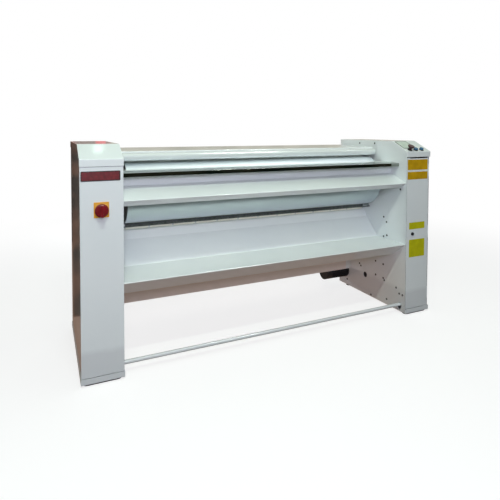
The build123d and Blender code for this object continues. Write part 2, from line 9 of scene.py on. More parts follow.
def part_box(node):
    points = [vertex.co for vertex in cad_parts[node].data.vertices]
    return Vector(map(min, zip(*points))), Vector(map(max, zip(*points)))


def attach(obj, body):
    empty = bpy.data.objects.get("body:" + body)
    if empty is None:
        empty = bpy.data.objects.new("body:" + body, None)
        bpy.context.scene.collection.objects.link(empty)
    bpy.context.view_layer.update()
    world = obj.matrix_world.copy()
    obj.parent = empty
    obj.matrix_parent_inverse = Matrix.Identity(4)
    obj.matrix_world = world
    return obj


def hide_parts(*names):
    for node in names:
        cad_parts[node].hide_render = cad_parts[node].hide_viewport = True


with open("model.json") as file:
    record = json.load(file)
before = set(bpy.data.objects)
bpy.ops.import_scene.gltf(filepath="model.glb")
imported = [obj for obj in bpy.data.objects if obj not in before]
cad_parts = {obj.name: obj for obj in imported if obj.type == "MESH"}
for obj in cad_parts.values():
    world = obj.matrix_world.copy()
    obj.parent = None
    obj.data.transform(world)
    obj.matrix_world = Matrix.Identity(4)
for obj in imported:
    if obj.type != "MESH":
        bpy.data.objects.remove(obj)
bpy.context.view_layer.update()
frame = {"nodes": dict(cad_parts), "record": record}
mm = 0.001
slotOf = {part["node"]: part["material_slot"] for part in frame["record"]["subparts"]}
bodies = frame["record"]["behaviour"]["bodies"]
bodyOf = {node: body for body, members in bodies.items() for node in members}
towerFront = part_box("left_top_cap")[0].y  # depths in a side view are measured from here
print("frame: the CAD pieces are in")


# the camera, worked out from the photograph's edges
photoCamera = {
    "place": (-1.176, -2.411, 1.149),
    "turnRight": 24.83,
    "lookDown": 1.83,
    "roll": 0.16,
    "focalPixels": 445.03,
    "axisRow": 144.32,
    "framePixels": 500,
    "sensor": 36,
}


def placeCamera():
    look = photoCamera
    yaw, pitch, roll = [math.radians(look[key]) for key in ("turnRight", "lookDown", "roll")]
    ahead = Vector((math.sin(yaw), math.cos(yaw), 0))
    forward = ahead * math.cos(pitch) - Vector((0, 0, math.sin(pitch)))
    level = Vector((math.cos(yaw), -math.sin(yaw), 0))
    right = level * math.cos(roll) + level.cross(forward) * math.sin(roll)
    data = bpy.data.cameras.new("photoCamera")
    data.sensor_width = look["sensor"]
    data.lens = look["focalPixels"] * look["sensor"] / look["framePixels"]
    data.shift_y = look["axisRow"] / look["framePixels"] - 0.5
    holder = bpy.data.objects.new("photoCamera", data)
    turn = Matrix((right, right.cross(forward), -forward)).transposed().to_4x4()
    holder.matrix_world = Matrix.Translation(look["place"]) @ turn
    bpy.context.scene.collection.objects.link(holder)
    bpy.context.scene.camera = holder


# small tools for node trees and meshes

def tone(screen):
    # a colour as a screen shows it, as the light values that shaders use
    parts = [int(screen[i:i + 2], 16) / 255 for i in (0, 2, 4)]
    return (*[p / 12.92 if p <= 0.04045 else ((p + 0.055) / 1.055) ** 2.4 for p in parts], 1)


def feed(tree, node, inputs):
    # links each input that is another node's socket, and sets each that is a value
    for socket, value in inputs.items():
        for one in value if isinstance(value, list) else [value]:
            if isinstance(one, bpy.types.NodeSocket):
                tree.links.new(one, node.inputs[socket])
            else:
                node.inputs[socket].default_value = one


def addNode(tree, kind, inputs=None, **settings):
    node = tree.nodes.new(kind)
    for setting, value in settings.items():
        setattr(node, setting, value)
    feed(tree, node, inputs or {})
    return node


def mixColour(tree, share, first, second):
    node = addNode(tree, "ShaderNodeMix", {0: share, 6: first, 7: second}, data_type="RGBA")
    return node.outputs[2]


def newMaterial(name):
    material = bpy.data.materials.new(name)
    material.use_nodes = True
    tree = material.node_tree
    return material, tree, addNode(tree, "ShaderNodeTexCoord").outputs["Object"]


def newPiece(name, mesh):
    piece = bpy.data.objects.new(name, mesh)
    bpy.context.scene.collection.objects.link(piece)
    return piece


def plainMesh(name, points, faces=(), edges=()):
    mesh = bpy.data.meshes.new(name)
    mesh.from_pydata(points, list(edges), list(faces))
    return mesh


def openMesh(mesh):
    work = bmesh.new()
    work.from_mesh(mesh)
    return work


def closeMesh(work, mesh):
    work.to_mesh(mesh)
    work.free()


def keepResult(piece):
    # what the modifiers make becomes the piece's own mesh
    view = bpy.context.evaluated_depsgraph_get()
    mesh = bpy.data.meshes.new_from_object(piece.evaluated_get(view), depsgraph=view)
    piece.modifiers.clear()
    piece.data = mesh
    mesh.name = piece.name


def settle(piece, paint, body, slotName, *nodes):
    if paint:
        piece.data.materials.clear()
        piece.data.materials.append(paint)
    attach(piece, body)
    if nodes:
        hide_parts(*nodes)


def sideView(depth, height):
    return towerFront + depth * mm, height * mm


# light and surroundings, places in metres

lamps = {
    "ceilingSoftbox": {"place": (0.35, -0.5, 3.0), "aim": (0.35, -0.1, 0.4), "size": (2.2, 2.2),
                       "power": 15.5, "tint": "ecffe6"},
    "frontCeiling": {"place": (-1.2, -2.38, 3.75), "aim": (-1.2, 0, 0.5), "size": (1.4, 0.12),
                     "power": 55, "tint": "eeffee"},
    "hallLight": {"place": (-0.6, -5.2, 2.4), "aim": (-0.3, 0, 0.55), "size": (3.4, 2.0),
                  "power": 37, "tint": "e6ecff"},
    "cameraLamp": {"place": (-1.1, -2.75, 1.6), "aim": (-0.5, 0, 0.55), "size": (0.7, 0.5),
                   "power": 21, "tint": "eceaff"},
    "trayLamp": {"place": (0, -0.33, 0.77), "aim": (0, -0.13, 0.44), "size": (1.6, 0.04),
                 "power": 0.40, "tint": "f6fff0", "spread": 86},
    "rearLamp": {"place": (0.3, 3.6, 0.9), "aim": (0, 0, 0.6), "size": (2.4, 0.9),
                 "power": 50, "tint": "f6fbff"},
}
studio = {
    "ambient": 0.18,  # what the white world gives as light
    "floorSize": 12,
    "floorPaint": "9a9b9b",
    "floorGlow": 0.74,
    "fadeFrom": 1.6,
    "fadeTo": 4.2,  # from here on the floor is plain white
    "bounceFloor": "8c8078",  # the floor as the undersides see it
    "warmFloorGlow": "846c5a",  # painted light: a glow the floor gives off behind the front line, for the undersides
    "mirrored": ("4d5452", "8a7163"),  # the floor in a reflection, before and behind that line
    "frontLine": (-0.35, -0.15),
}


def addLamp(name, look):
    data = bpy.data.lights.new(name, "AREA")
    data.shape = "RECTANGLE"
    data.size, data.size_y = look["size"]
    data.energy = look["power"]
    data.color = tone(look["tint"])[:3]
    data.spread = math.radians(look.get("spread", 180))
    lamp = bpy.data.objects.new(name, data)
    lamp.location = look["place"]
    away = Vector(look["place"]) - Vector(look["aim"])
    lamp.rotation_euler = away.to_track_quat("Z", "Y").to_euler()
    bpy.context.scene.collection.objects.link(lamp)


def seenRays(tree):
    # 1 for what the camera sees, also in a reflection or through glass, 0 for the light on surfaces
    path = addNode(tree, "ShaderNodeLightPath")
    mirror = addNode(tree, "ShaderNodeMath", {
        0: path.outputs["Is Camera Ray"], 1: path.outputs["Is Glossy Ray"]}, operation="MAXIMUM")
    return addNode(tree, "ShaderNodeMath", {
        0: mirror.outputs[0], 1: path.outputs["Is Transmission Ray"]}, operation="MAXIMUM").outputs[0]


def makeWorld():
    world = bpy.data.worlds.new("studio")
    bpy.context.scene.world = world
    world.use_nodes = True
    tree = world.node_tree
    strength = addNode(tree, "ShaderNodeMapRange", {
        "Value": seenRays(tree), "To Min": studio["ambient"], "To Max": 1})
    feed(tree, tree.nodes["Background"], {"Color": tone("ffffff"), "Strength": strength.outputs[0]})


def standing(x0, x1, y, z0, z1):
    return [(x0, y, z0), (x1, y, z0), (x1, y, z1), (x0, y, z1)]


def sidelong(x, y0, y1, z0, z1):
    return [(x, y0, z0), (x, y1, z0), (x, y1, z1), (x, y0, z1)]


def lying(x0, x1, y0, y1, z):
    return [(x0, y0, z), (x1, y0, z), (x1, y1, z), (x0, y1, z)]


def makeFloor():
    half = studio["floorSize"] / 2
    corners = lying(-half, half, -half, half, 0)
    floor = newPiece("studioFloor", plainMesh("studioFloor", corners, [(0, 1, 2, 3)]))
    material, tree, place = newMaterial("paleFloor")
    depth = addNode(tree, "ShaderNodeSeparateXYZ", {"Vector": place}).outputs["Y"]
    behind = addNode(tree, "ShaderNodeMapRange", {"Value": depth, "From Min": studio["frontLine"][0],
                                                  "From Max": studio["frontLine"][1]})
    lit = addNode(tree, "ShaderNodeBsdfDiffuse", {"Color": tone(studio["bounceFloor"])})
    # painted light: behind the front line the floor glows warm to light the undersides
    warmGlow = addNode(tree, "ShaderNodeEmission", {"Color": tone(studio["warmFloorGlow"]),
                                                "Strength": behind.outputs[0]})
    bounceFloor = addNode(tree, "ShaderNodeAddShader", {0: lit.outputs[0], 1: warmGlow.outputs[0]})
    mirrored = mixColour(tree, behind.outputs[0], *map(tone, studio["mirrored"]))
    sheen = addNode(tree, "ShaderNodeEmission", {"Color": mirrored, "Strength": 1})
    far = addNode(tree, "ShaderNodeVectorMath", {0: place}, operation="LENGTH")
    fade = addNode(tree, "ShaderNodeMapRange", {
        "Value": far.outputs["Value"], "From Min": studio["fadeFrom"],
        "From Max": studio["fadeTo"]}, interpolation_type="SMOOTHSTEP")
    pale = addNode(tree, "ShaderNodeBsdfDiffuse", {"Color": tone(studio["floorPaint"])})
    glow = addNode(tree, "ShaderNodeEmission", {"Color": tone("ffffff"),
                                                "Strength": studio["floorGlow"]})
    near = addNode(tree, "ShaderNodeAddShader", {0: pale.outputs[0], 1: glow.outputs[0]})
    white = addNode(tree, "ShaderNodeEmission", {"Color": tone("ffffff"), "Strength": 1})
    shown = addNode(tree, "ShaderNodeMixShader", {0: fade.outputs[0], 1: near.outputs[0],
                                                  2: white.outputs[0]})
    path = addNode(tree, "ShaderNodeLightPath").outputs
    hidden = addNode(tree, "ShaderNodeMixShader", {0: path["Is Glossy Ray"], 1: bounceFloor.outputs[0],
                                                   2: sheen.outputs[0]})
    mix = addNode(tree, "ShaderNodeMixShader", {0: path["Is Camera Ray"], 1: hidden.outputs[0],
                                                2: shown.outputs[0]})
    feed(tree, tree.nodes["Material Output"], {"Surface": mix.outputs[0]})
    floor.data.materials.append(material)


# cards for the reflections: the hall around the machine and its lamps

cards = {
    "hallFront": {"corners": standing(-3, 8.5, -5.4, 0.01, 1.9), "colours": ("15201a", "3c3c30"),
                  "lumps": 0.7},
    "hallBack": {"corners": standing(-3.2, 4.2, 2.4, 0.01, 1.03), "colours": ("211b18", "3a2e29"),
                 "lumps": 0.4},
    "neighbour": {"corners": standing(-3.2, -1.05, 0.46, 0.01, 1.09), "colours": ("0d0c0b", "5f4133"),
                  "lumps": 0.16},
    "redSign": {"corners": standing(-0.70, -0.60, 2.38, 1.04, 1.4), "colours": ("e03a48", "ff5a68"),
                "lumps": 0.3},
    "redWall": {"corners": standing(-3.2, -0.55, 2.4, 1.03, 1.5), "colours": ("6e3f36", "a8554a"),
                "lumps": 0.3},
    "creamWall": {"corners": standing(-0.55, 4.2, 2.4, 1.03, 1.6), "colours": ("9c9180", "b5aa9a"),
                  "lumps": 0.3},
    "hallSide": {"corners": sidelong(-1.95, -0.55, 2.3, 0.01, 2.4), "colours": ("2c2420", "453831"),
                 "lumps": 0.4, "lightsSheets": True},
    "ceilingLeft": {"corners": lying(-1.4, 0.1, 1.0, 2.3, 3.6), "colours": ("8fa898", "9cb5a4"),
                    "lumps": 0.4, "glow": {"middle": (-0.62, 1.64, 3.6), "reach": 0.11, "peak": 16}},
    "ceilingRight": {"corners": lying(3.0, 5.6, 0.6, 2.6, 3.6), "colours": ("96978a", "a5a698"),
                     "lumps": 0.6},
}
hallLamps = {
    "spans": [(0.36, 0.485), (0.515, 0.645), (0.70, 0.81), (0.835, 0.965), (1.005, 1.10), (2.12, 2.24)],
    "depth": (-1.2, -0.7),
    "height": 2.85,
    "strength": 60,
}
for i, span in enumerate(hallLamps["spans"]):
    cards["hallLamp" + str(i)] = {"corners": lying(*span, *hallLamps["depth"], hallLamps["height"]),
                                  "colours": ("ffffff", "f4fff8"), "lumps": 1,
                                  "strength": hallLamps["strength"]}
lumpEdge = (0.42, 0.58)  # where one colour of a card passes into the other


def makeCard(name, look):
    card = newPiece(name, plainMesh(name, look["corners"], [(0, 1, 2, 3)]))
    for ray in ("camera", "shadow", "transmission", "volume_scatter"):
        setattr(card, "visible_" + ray, False)
    card.visible_diffuse = look.get("lightsSheets", False)
    material, tree, place = newMaterial(name)
    cloud = addNode(tree, "ShaderNodeTexNoise", {"Vector": place, "Scale": 1 / look["lumps"],
                                                 "Detail": 3})
    blend = addNode(tree, "ShaderNodeValToRGB", {"Fac": cloud.outputs[0]})
    for stop, colour, position in zip(blend.color_ramp.elements, look["colours"], lumpEdge):
        stop.color = tone(colour)
        stop.position = position
    light = addNode(tree, "ShaderNodeEmission", {"Color": blend.outputs[0],
                                                 "Strength": look.get("strength", 1)})
    if "glow" in look:
        glow = look["glow"]
        off = addNode(tree, "ShaderNodeVectorMath", {0: place, 1: glow["middle"]}, operation="DISTANCE")
        lamp = addNode(tree, "ShaderNodeMapRange", {
            "Value": off.outputs["Value"], "From Max": glow["reach"],
            "To Min": glow["peak"], "To Max": 1}, interpolation_type="SMOOTHERSTEP")
        feed(tree, light, {"Strength": lamp.outputs[0]})
    feed(tree, tree.nodes["Material Output"], {"Surface": light.outputs[0]})
    card.data.materials.append(material)


bpy.context.scene.view_settings.view_transform = "Standard"
placeCamera()
makeWorld()
makeFloor()
for lampName, lampLook in lamps.items():
    addLamp(lampName, lampLook)
for cardName, cardLook in cards.items():
    makeCard(cardName, cardLook)
print("studio: camera, lamps and floor are up")


# finishes: two tones in clouds, a span of roughness, and a fine relief; sizes in metres

finishes = {
    "whitePaint": {"light": "edf2f2", "dark": "e8eeef", "cloud": 0.35, "rough": (0.30, 0.38),
                   "grain": 0.0022, "depth": 0.00003,
                   "shader": {"Coat Weight": 0.8, "Coat Roughness": 0.07},
                   # the greyer band near the floor is a painted reflection of the dark floor next to
                   # the machine
                   "paintedFloorReflection": {"colour": "bfc0c4", "height": 0.15, "share": 0.35, "lumps": 0.08,
                            "ragged": 0.03}},
    "framePaint": {"light": "a9adb0", "dark": "9da2a6", "cloud": 0.2, "rough": (0.45, 0.55),
                   "grain": 0.002, "depth": 0.00003},
    # the rear paint is white paint with a warm tint: painted bounce light from the floor
    "rearPaintWarmBounce": {"light": "efe6df", "dark": "e6dcd4", "cloud": 0.3, "rough": (0.42, 0.52),
                  "grain": 0.002, "depth": 0.00004},
    # the guard tube's paint is the white paint made darker: painted shade
    "shadedTubePaint": {"light": "cdd3d1", "dark": "c6cccb", "cloud": 0.35, "rough": (0.30, 0.38),
                  "grain": 0.0022, "depth": 0.00003,
                  "shader": {"Coat Weight": 0.8, "Coat Roughness": 0.07}},
    "rollSteel": {"light": "c4ccd0", "dark": "bcc5ca", "cloud": 0.4, "stretch": (0.3, 1, 1),
                  "rough": (0.36, 0.44), "grain": 0.003, "depth": 0.000006, "metal": 1},
    "satinStrip": {"light": "5a5e5c", "dark": "434745", "cloud": 0.012, "rough": (0.30, 0.42),
                   "grain": 0.0018, "depth": 0.00003, "metal": 0.3},
    "mirrorSteel": {"light": "939790", "dark": "7e837c", "cloud": 0.25, "rough": (0.04, 0.10),
                    "grain": 0.03, "depth": 0.00002, "metal": 1},
    "brightSteel": {"light": "c9cccd", "dark": "a9adb0", "cloud": 0.03, "rough": (0.28, 0.42),
                    "grain": 0.0012, "depth": 0.00002, "metal": 1},
    "oiledSteel": {"light": "5a5c5e", "dark": "3c3e40", "cloud": 0.02, "rough": (0.30, 0.50),
                   "grain": 0.0015, "depth": 0.00004, "metal": 1},
    "castGrey": {"light": "7e868b", "dark": "6d757a", "cloud": 0.03, "rough": (0.50, 0.65),
                 "grain": 0.0016, "depth": 0.00018},
    "motorBlack": {"light": "1d2024", "dark": "121417", "cloud": 0.04, "rough": (0.38, 0.55),
                   "grain": 0.0015, "depth": 0.00008},
    "beltRubber": {"light": "1e1e1f", "dark": "141415", "cloud": 0.02, "rough": (0.60, 0.75),
                   "grain": 0.0008, "depth": 0.00005},
    "padRubber": {"light": "3f3e42", "dark": "2f2e31", "cloud": 0.03, "rough": (0.65, 0.80),
                  "grain": 0.0014, "depth": 0.00008},
    "redPlastic": {"light": "8c0618", "dark": "6f0412", "cloud": 0.02, "rough": (0.20, 0.28),
                   "grain": 0.0006, "depth": 0.00001, "shader": {"Coat Weight": 1}},
    "darkRedPlastic": {"light": "450c13", "dark": "2e080d", "cloud": 0.02, "rough": (0.28, 0.38),
                       "grain": 0.0006, "depth": 0.00002},
    "bluePlastic": {"light": "4a7b9f", "dark": "3a688a", "cloud": 0.01, "rough": (0.22, 0.30),
                    "grain": 0.0006, "depth": 0.00002},
    "isolatorYellow": {"light": "e8a92e", "dark": "dc9c24", "cloud": 0.03, "rough": (0.34, 0.44),
                       "grain": 0.0008, "depth": 0.00002},
    "nameRed": {"light": "7d2126", "dark": "5a1a1d", "cloud": 0.012, "rough": (0.30, 0.42),
                "grain": 0.0007, "depth": 0.00003},
    "nameBorder": {"light": "38211f", "dark": "2c1917", "cloud": 0.01, "rough": (0.34, 0.46),
                   "grain": 0.0007, "depth": 0.00003},
    "amberPlate": {"light": "cfa308", "dark": "b88f04", "cloud": 0.03, "rough": (0.46, 0.56),
                   "grain": 0.0009, "depth": 0.00002, "shader": {"Specular IOR Level": 0.15}},
    "lemonPlate": {"light": "c8c514", "dark": "b8b50e", "cloud": 0.03, "rough": (0.46, 0.56),
                   "grain": 0.0009, "depth": 0.00002, "shader": {"Specular IOR Level": 0.15}},
    "blackPlastic": {"light": "1f2123", "dark": "16181a", "cloud": 0.02, "rough": (0.35, 0.48),
                     "grain": 0.0007, "depth": 0.00003},
    "boxGrey": {"light": "8d9296", "dark": "81868a", "cloud": 0.06, "rough": (0.45, 0.58),
                "grain": 0.0012, "depth": 0.00004},
    "displayGlass": {"light": "e2ece4", "dark": "d0dfd5", "cloud": 0.03, "rough": (0.08, 0.14),
                     "grain": 0.004, "depth": 0.000005, "shader": {"Coat Weight": 0.6}},
}
finishOfSlot = {
    "white_paint": "whitePaint", "grey_frame": "framePaint", "rear_panel": "rearPaintWarmBounce",
    "roll_steel": "rollSteel", "mirror_steel": "mirrorSteel", "bright_steel": "brightSteel",
    "dark_steel": "oiledSteel", "cast_grey": "castGrey", "motor_black": "motorBlack",
    "belt_cloth": "beltCloth", "rubber": "beltRubber", "red_plastic": "redPlastic",
    "blue_plastic": "bluePlastic", "yellow_plate": "isolatorYellow", "name_plate": "nameRed",
    "label_plate": "amberPlate", "black_plastic": "blackPlastic", "box_grey": "boxGrey",
    "display_glass": "displayGlass",
}
patchEdge = {"From Min": 0.3, "From Max": 0.7}  # the stretch of a noise where the tones mix
smearShare = 0.25  # the size of the lumps in the gloss, as a share of the colour's


def clouds(tree, place, size, detail, stretch=(1, 1, 1)):
    # soft variation from 0 to 1, in lumps of about this size
    turned = addNode(tree, "ShaderNodeMapping", {"Vector": place, "Scale": stretch})
    return addNode(tree, "ShaderNodeTexNoise", {"Vector": turned.outputs[0], "Scale": 1 / size,
                                                "Detail": detail}).outputs[0]


def addPaintedFloorReflection(tree, place, colour, paintedFloorReflection):
    # a darker, greyer band near the floor: painted reflection of the dark floor next to the machine
    height = addNode(tree, "ShaderNodeSeparateXYZ", {"Vector": place}).outputs["Z"]
    ragged = addNode(tree, "ShaderNodeMath", {
        0: clouds(tree, place, paintedFloorReflection["lumps"], detail=4), 1: paintedFloorReflection["ragged"], 2: height},
        operation="MULTIPLY_ADD")
    low = addNode(tree, "ShaderNodeMapRange", {
        "Value": ragged.outputs[0], "From Min": paintedFloorReflection["height"] + paintedFloorReflection["ragged"],
        "From Max": paintedFloorReflection["height"], "To Max": paintedFloorReflection["share"]})
    return mixColour(tree, low.outputs[0], colour, tone(paintedFloorReflection["colour"]))


def makeFinish(name, look):
    material, tree, place = newMaterial(name)
    stretch = look.get("stretch", (1, 1, 1))
    patches = clouds(tree, place, look["cloud"], detail=4, stretch=stretch)
    patch = addNode(tree, "ShaderNodeMapRange", {"Value": patches, **patchEdge})
    colour = mixColour(tree, patch.outputs[0], tone(look["dark"]), tone(look["light"]))
    # white paint gets a painted reflection of the dark floor along its bottom
    if "paintedFloorReflection" in look:
        colour = addPaintedFloorReflection(tree, place, colour, look["paintedFloorReflection"])
    wear = clouds(tree, place, look["cloud"] * smearShare, detail=3, stretch=stretch)
    smear = addNode(tree, "ShaderNodeMapRange", {"Value": wear, "To Min": look["rough"][0],
                                                 "To Max": look["rough"][1]})
    grain = clouds(tree, place, look["grain"], detail=2, stretch=stretch)
    relief = addNode(tree, "ShaderNodeBump", {"Height": grain, "Distance": look["depth"]})
    feed(tree, tree.nodes["Principled BSDF"], {
        "Base Color": colour, "Roughness": smear.outputs[0], "Normal": relief.outputs[0],
        "Metallic": look.get("metal", 0), **look.get("shader", {})})
    return material


beltCloth = {"light": "e6e4d8", "dark": "d6d3c4", "cloud": 0.12, "thread": 0.0016, "depth": 0.0003,
             "shader": {"Roughness": 0.9, "Sheen Weight": 0.3}}


def makeBeltCloth(look):
    # plain weave: threads along the belt and across it, a little browned by heat
    material, tree, place = newMaterial("beltCloth")
    axes = addNode(tree, "ShaderNodeSeparateXYZ", {"Vector": place})
    along = addNode(tree, "ShaderNodeMath", {0: axes.outputs["Y"], 1: axes.outputs["Z"]},
                    operation="ADD")
    waves = []
    for reading in (axes.outputs["X"], along.outputs[0]):
        turns = addNode(tree, "ShaderNodeMath", {0: reading, 1: 2 * math.pi / look["thread"]},
                        operation="MULTIPLY")
        wave = addNode(tree, "ShaderNodeMath", {0: turns.outputs[0]}, operation="SINE")
        waves.append(wave.outputs[0])
    weave = addNode(tree, "ShaderNodeMath", {0: waves[0], 1: waves[1]}, operation="MULTIPLY").outputs[0]
    browned = clouds(tree, place, look["cloud"], detail=4)
    share = addNode(tree, "ShaderNodeMapRange", {"Value": browned, **patchEdge})
    colour = mixColour(tree, share.outputs[0], tone(look["dark"]), tone(look["light"]))
    relief = addNode(tree, "ShaderNodeBump", {"Height": weave, "Distance": look["depth"]})
    feed(tree, tree.nodes["Principled BSDF"], {
        "Base Color": colour, "Normal": relief.outputs[0], **look["shader"]})
    return material


finishOfNode = {  # pieces that differ from the rest of their slot
    "foot_pads": "padRubber", "levelling_feet": "padRubber", "finger_guard": "shadedTubePaint",
    "exit_strip": "satinStrip", "idler_bracket": "motorBlack", "idler_pulley": "motorBlack",
    "emergency_stop": "darkRedPlastic", "wall_screws": "oiledSteel",
}
paints = {name: makeFinish(name, look) for name, look in finishes.items()}
paints["beltCloth"] = makeBeltCloth(beltCloth)
paintOf = {node: paints[finishOfNode.get(node, finishOfSlot[slotOf[node]])] for node in frame["nodes"]}
for node, cadPiece in frame["nodes"].items():
    for materialSlot in cadPiece.material_slots:
        materialSlot.material = paintOf[node]
print("finishes:", len(paints), "made")


# sheet metal from the CAD: folds get the round of a press brake, cut edges a broken corner

sheetPieces = {  # the CAD node and the radius of its folds in mm
    "leftCapSheet": ("left_top_cap", 2.4), "rightCapSheet": ("right_top_cap", 2.4),
    "leftFrontSheet": ("left_front_panel", 1.5), "serviceDoorSheet": ("service_door", 1.5),
    "leftSideSheet": ("left_side_frame", 2.4), "rightSideSheet": ("right_side_frame", 2.4),
    "outerSideSheets": ("outer_skins", 2.4), "baseTraySheets": ("base_trays", 2.4),
    "towerRearSheets": ("tower_rear_panels", 1.5), "rearUpperSheet": ("rear_upper_panel", 1.5),
    "feedBarProfile": ("feed_bar", 0.8), "feedTableSheet": ("feed_table", 1.5),
    "exitStripProfile": ("exit_strip", 0.6), "crossBeamTubes": ("cross_beams", 3),
    "controlBoxCases": ("control_boxes", 0.5), "isolatorPlateCard": ("isolator_plate", 1),
}
roundedPieces = {  # the CAD node and the radius of its edges in mm
    "isolatorHandle": ("isolator_knob", 1.6), "startButtonCap": ("start_button", 1.8),
    "stopButtonCap": ("stop_button", 1.8), "emergencyStopHead": ("emergency_stop", 2.2),
    "doorLockCam": ("door_lock", 1.2), "buttonBezelRings": ("button_bezels", 0.8),
}
edgeRound = {
    "cut": 0.5 * mm,  # the radius at the sheet's own thickness
    "wide": 6 * mm,  # faces narrower than this are such edges
    "smallShare": 0.5,  # the same on a knob, as a share of its radius
    "sharpDegrees": 25,
    "flatDegrees": 0.5,
    "segments": 3,
    "weld": 0.01 * mm,
}


def mergedCopy(node, name):
    work = openMesh(frame["nodes"][node].data)
    bmesh.ops.remove_doubles(work, verts=work.verts, dist=edgeRound["weld"])
    flat = math.radians(edgeRound["flatDegrees"])
    bmesh.ops.dissolve_limit(work, angle_limit=flat, verts=work.verts, edges=work.edges)
    work.verts.index_update()
    mesh = plainMesh(name, [v.co for v in work.verts], [[v.index for v in f.verts] for f in work.faces])
    work.free()
    return newPiece(name, mesh)


def roundEdges(piece, fold, cut):
    work = openMesh(piece.data)
    weight = work.edges.layers.float.new("bevel_weight_edge")
    sharp = math.radians(edgeRound["sharpDegrees"])
    for edge in work.edges:
        turn = edge.calc_face_angle_signed(0)
        if turn > sharp:
            widths = [f.calc_area() / max(e.calc_length() for e in f.edges) for f in edge.link_faces]
            edge[weight] = 1 if min(widths) > edgeRound["wide"] else cut / fold
        elif turn < -sharp:
            edge.smooth = False
    closeMesh(work, piece.data)
    piece.data.shade_smooth()
    rounder = piece.modifiers.new("edges", "BEVEL")
    rounder.limit_method = "WEIGHT"
    rounder.width = fold
    rounder.segments = edgeRound["segments"]
    rounder.use_clamp_overlap = False
    shading = piece.modifiers.new("shading", "WEIGHTED_NORMAL")
    shading.keep_sharp = True
    keepResult(piece)


for pieceName, (node, radius) in sheetPieces.items():
    sheet = mergedCopy(node, pieceName)
    roundEdges(sheet, radius * mm, edgeRound["cut"])
    settle(sheet, paintOf[node], bodyOf[node], slotOf[node], node)
for pieceName, (node, radius) in roundedPieces.items():
    knob = mergedCopy(node, pieceName)
    roundEdges(knob, radius * mm, radius * mm * edgeRound["smallShare"])
    settle(knob, paintOf[node], bodyOf[node], slotOf[node], node)
print("sheets:", len(sheetPieces), "with rounded folds")


# plates on the fronts, left bare

namePlate = {"steep": 90, "border": 4 * mm, "sink": 0.4 * mm}
displayWindow = {"steep": 25.5, "border": 3 * mm, "sink": 0.3 * mm}  # lies in the sloping brow
doorPlates = {"splitHeight": 0.7, "corner": 4 * mm, "cornerSteps": 4}
insetStep = 0.4 * mm  # the width of the slope from the border down to the field
alike = 0.99  # the cosine from which two directions count as one


def insetPlate(piece, look, innerPaint):
    # the widest face that is this steep and looks forwards gets a border, and its field lies deeper
    steep = math.radians(look["steep"])
    towards = Vector((0, -math.sin(steep), math.cos(steep)))
    work = openMesh(piece.data)
    looking = [f for f in work.faces if f.normal.dot(towards) > alike]
    field = max(looking, key=lambda f: f.calc_area())
    bmesh.ops.inset_region(work, faces=[field], thickness=look["border"], use_even_offset=True)
    bmesh.ops.inset_region(work, faces=[field], thickness=insetStep, depth=-look["sink"],
                           use_even_offset=True)
    field.material_index = 1
    closeMesh(work, piece.data)
    piece.data.materials.append(innerPaint)


def makeNamePlate():
    plate = mergedCopy("nameplate", "namePlateBare")
    settle(plate, paints["nameBorder"], "machine", "name_plate", "nameplate")
    insetPlate(plate, namePlate, paints["nameRed"])


def makeDisplay():
    window = mergedCopy("display_window", "displayWindowGlass")
    settle(window, paints["blackPlastic"], "machine", "display_glass", "display_window")
    insetPlate(window, displayWindow, paints["displayGlass"])


def makeDoorPlates(name, paint, dropped):
    # the plates above the split height or those below it, with their corners rounded
    plates = mergedCopy("door_plates", name)
    work = openMesh(plates.data)
    drop = [v for v in work.verts if dropped(v.co.z)]
    bmesh.ops.delete(work, geom=drop, context="VERTS")
    corners = [e for e in work.edges if abs((e.verts[0].co - e.verts[1].co).normalized().y) > alike]
    bmesh.ops.bevel(work, geom=corners, offset=doorPlates["corner"], segments=doorPlates["cornerSteps"],
                    affect="EDGES", profile=0.5)
    closeMesh(work, plates.data)
    settle(plates, paint, "service_door", "label_plate", "door_plates")


makeNamePlate()
makeDisplay()
makeDoorPlates("amberPlates", paints["amberPlate"], lambda z: z < doorPlates["splitHeight"])
makeDoorPlates("lemonPlates", paints["lemonPlate"], lambda z: z > doorPlates["splitHeight"])
print("plates: bare ones on the fronts")


# geometry nodes: shared beginnings and ends of the trees

treeWeld = 0.005 * mm  # points of a grown mesh that lie this close are one


def startTree(name, inputs):
    tree = bpy.data.node_groups.new(name, "GeometryNodeTree")
    tree.interface.new_socket("Geometry", in_out="INPUT", socket_type="NodeSocketGeometry")
    tree.interface.new_socket("Geometry", in_out="OUTPUT", socket_type="NodeSocketGeometry")
    for label, kind in inputs.items():
        tree.interface.new_socket(label, in_out="INPUT", socket_type="NodeSocket" + kind)
    return tree, addNode(tree, "NodeGroupInput").outputs


def endTree(tree, geometry, paint):
    real = addNode(tree, "GeometryNodeRealizeInstances", {"Geometry": geometry})
    painted = addNode(tree, "GeometryNodeSetMaterial", {"Geometry": real.outputs[0], "Material": paint})
    addNode(tree, "NodeGroupOutput", {"Geometry": painted.outputs[0]})
    return tree


def grow(name, base, tree, values):
    # runs a tree on a base mesh and keeps the result as a plain mesh
    piece = newPiece(name, base)
    shape = piece.modifiers.new("shape", "NODES")
    shape.node_group = tree
    for socket in tree.interface.items_tree:
        if socket.in_out == "INPUT" and socket.name in values:
            shape[socket.identifier] = values[socket.name]
    keepResult(piece)
    return piece


def faceOutwards(piece):
    work = openMesh(piece.data)
    bmesh.ops.remove_doubles(work, verts=work.verts, dist=treeWeld)
    bmesh.ops.recalc_face_normals(work, faces=work.faces)
    closeMesh(work, piece.data)


# folded sheets between the towers: the seen face as a line in the side view, and how far behind it
# the other face lies; in mm

